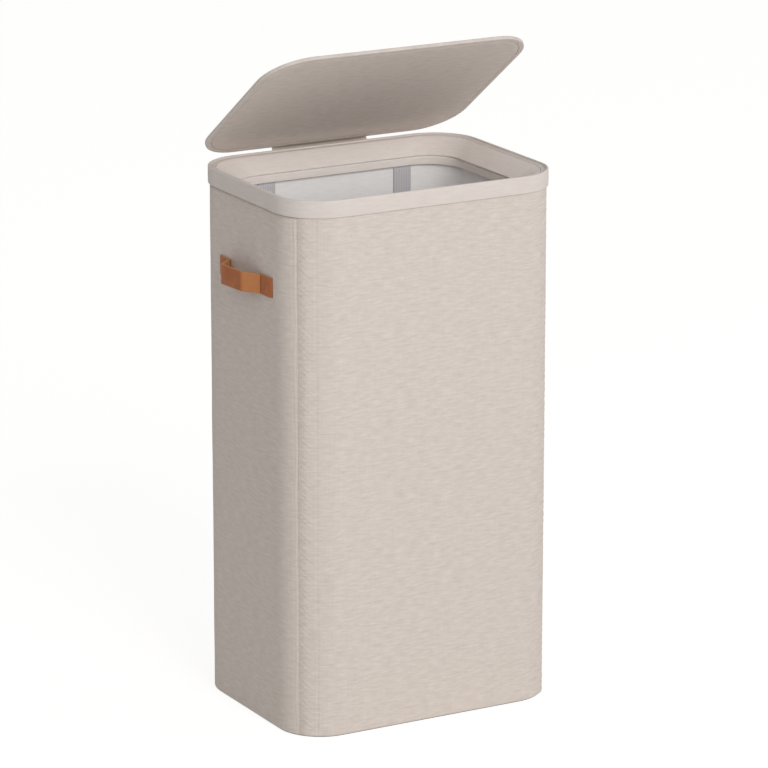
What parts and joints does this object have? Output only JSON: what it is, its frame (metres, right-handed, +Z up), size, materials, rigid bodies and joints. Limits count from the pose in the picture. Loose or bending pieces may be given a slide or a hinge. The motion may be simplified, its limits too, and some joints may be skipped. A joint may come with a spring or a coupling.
{
  "type": "laundry hamper",
  "caption": "Tall fabric-covered laundry hamper with a hinged lid, a funnel collar and a liner divided into bins, and leather carrying handles.",
  "frame": {"origin": "middle of the body's footprint, on the floor", "axes": "+Z up, +X to the right across the width, +Y to the back, where the hinge is"},
  "size_m": [0.4048, 0.2875, 0.8183],
  "materials": {
    "linen": "warm beige linen-look polyester with fine slubs",
    "smooth_linen": "lighter, smoother beige fabric, drawn tight",
    "white_cloth": "white polyester cloth",
    "webbing": "grey woven webbing",
    "tan_leather": "tan leather with darker cut edges",
    "greyboard": "raw pressed board, hidden in use",
    "lining": "pale non-woven lining",
    "base_cloth": "dark non-woven cloth",
    "hinge_plastic": "taupe moulded plastic",
    "steel": "zinc-plated steel"
  },
  "bodies": {
    "hamper": {"front_fabric": "linen", "back_fabric": "linen", "left_fabric": "linen", "right_fabric": "linen", "front_board": "greyboard", "back_board": "greyboard", "left_board": "greyboard", "right_board": "greyboard", "front_right_corner_former": "greyboard", "back_right_corner_former": "greyboard", "back_left_corner_former": "greyboard", "front_left_corner_former": "greyboard", "base_fabric": "base_cloth", "base_board": "greyboard", "body_lining": "lining", "rim_fabric": "smooth_linen", "rim_frame": "greyboard", "collar_rest": "greyboard", "liner_collar": "smooth_linen", "liner_hoop": "smooth_linen", "liner_bag": "white_cloth", "liner_divider": "white_cloth", "left_bin_strap": "webbing", "right_bin_strap": "webbing", "left_handle": "tan_leather", "right_handle": "tan_leather", "left_handle_backing": "greyboard", "right_handle_backing": "greyboard", "hinge_rim_leaf": "hinge_plastic", "hinge_pin": "steel", "rim_screw_1": "steel", "rim_screw_2": "steel", "rim_screw_3": "steel"},
    "lid": {"lid_fabric": "linen", "lid_board": "greyboard", "lid_lining": "linen", "hinge_lid_leaf": "hinge_plastic", "lid_screw_1": "steel", "lid_screw_2": "steel", "lid_screw_3": "steel"}
  },
  "joints": [
    {"name": "lid_hinge", "type": "hinge", "parent": "hamper", "child": "lid", "pos_m": [0, 0.142, 0.6482], "axis": [-1, 0, 0], "range_deg": [-35.4, 69.6]}
  ]
}
